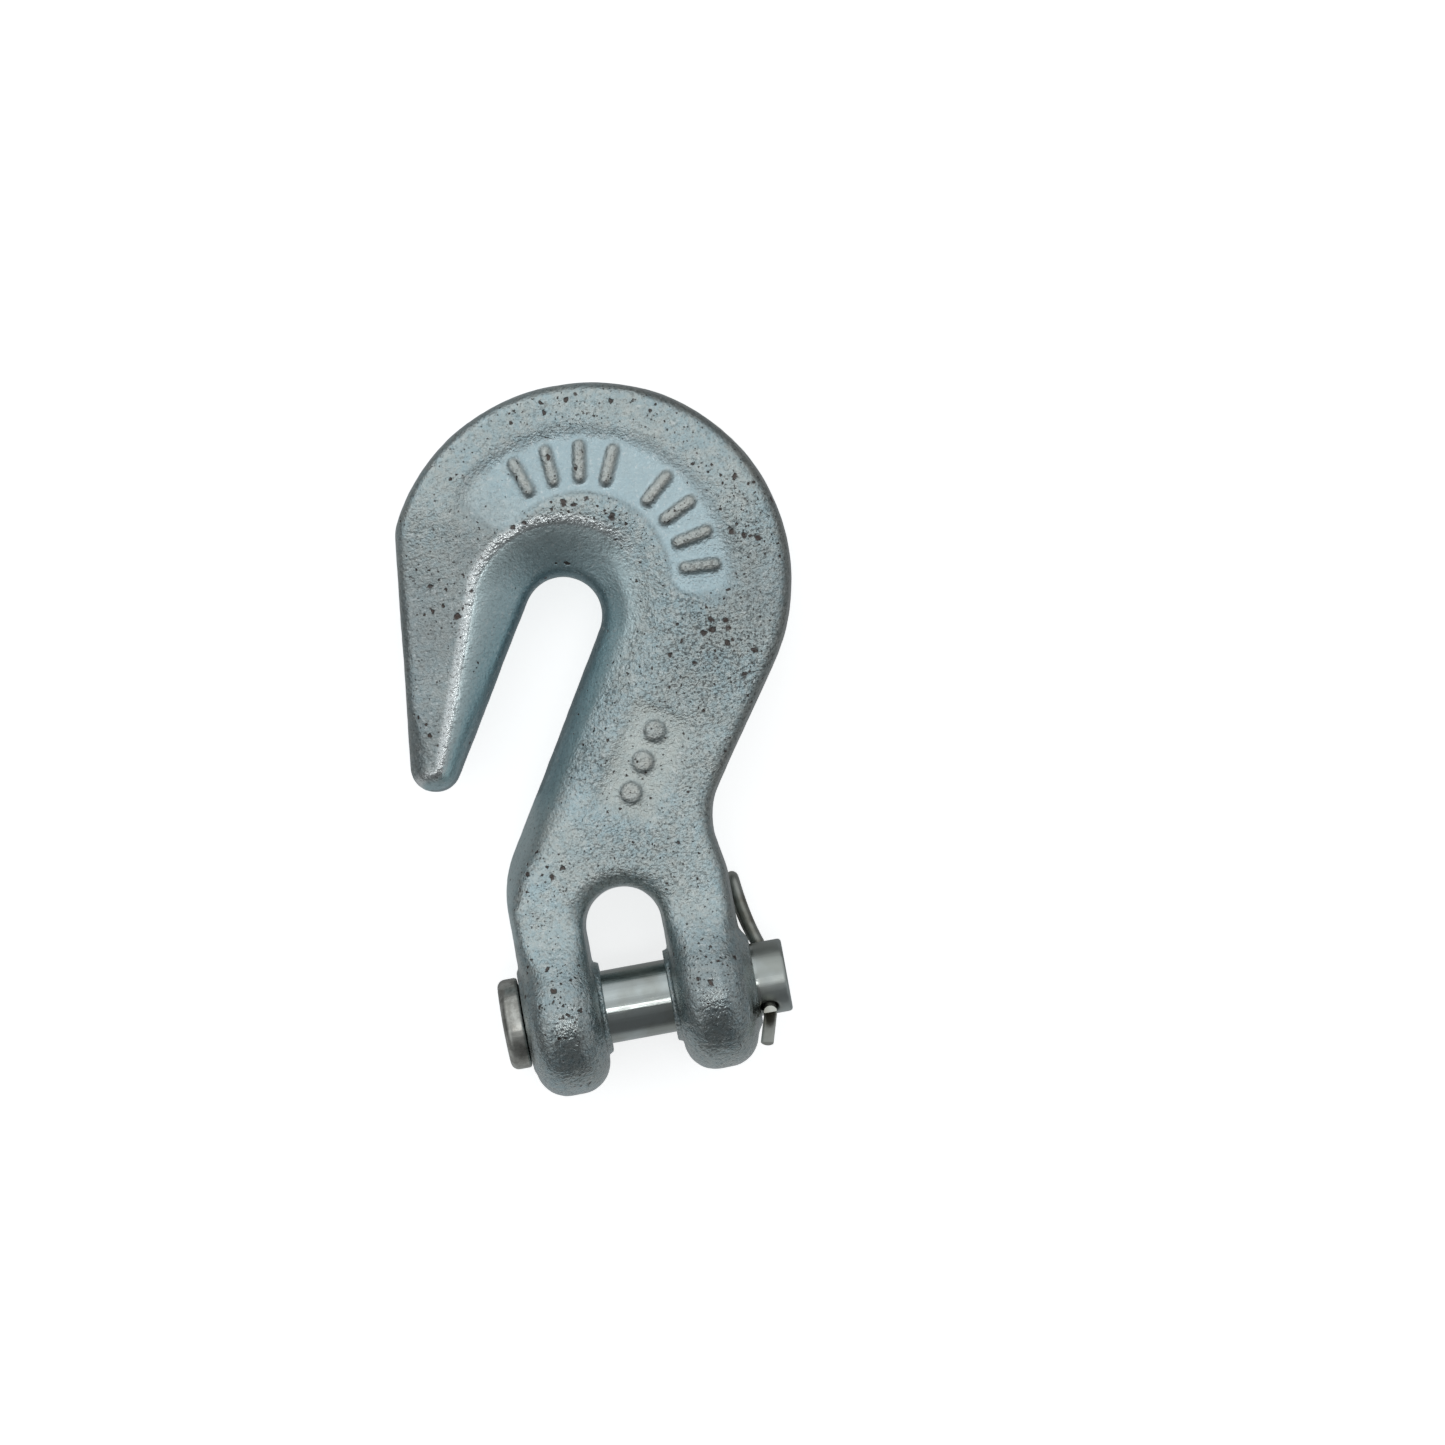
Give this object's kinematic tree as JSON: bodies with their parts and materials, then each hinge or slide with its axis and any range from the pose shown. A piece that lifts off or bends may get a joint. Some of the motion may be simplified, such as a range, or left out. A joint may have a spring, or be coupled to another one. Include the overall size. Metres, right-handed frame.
{
  "type": "clevis grab hook",
  "caption": "Forged steel clevis grab hook for a safety chain, with a narrow slanted throat, a headed clevis pin through its fork and a split cotter pin that keeps the pin in.",
  "frame": {"origin": "on the clevis pin's axis, midway between the ears, on the forging's mid-plane", "axes": "+X along the clevis pin from its head toward the cotter pin, +Y along the line of pull toward the bowl, +Z through the forging's thickness"},
  "size_m": [0.0623, 0.1062, 0.0247],
  "materials": {
    "plated_forging": "zinc-plated, blasted and lightly pitted",
    "plated_pin": "zinc-plated, turned smooth",
    "cotter_wire": "dull plated wire"
  },
  "bodies": {
    "hook": {"hook_body": "plated_forging"},
    "pin": {"clevis_pin": "plated_pin"},
    "cotter": {"cotter_pin": "cotter_wire"}
  },
  "joints": [
    {"name": "pin_turn", "type": "hinge", "parent": "hook", "child": "pin", "pos_m": [0, 0, 0], "axis": [1, 0, 0], "range_deg": [-285, 0]},
    {"name": "cotter_slide", "type": "slide", "parent": "pin", "child": "cotter", "axis": [0, 0.8191, -0.5736], "range_m": [0, 0.0004]}
  ]
}
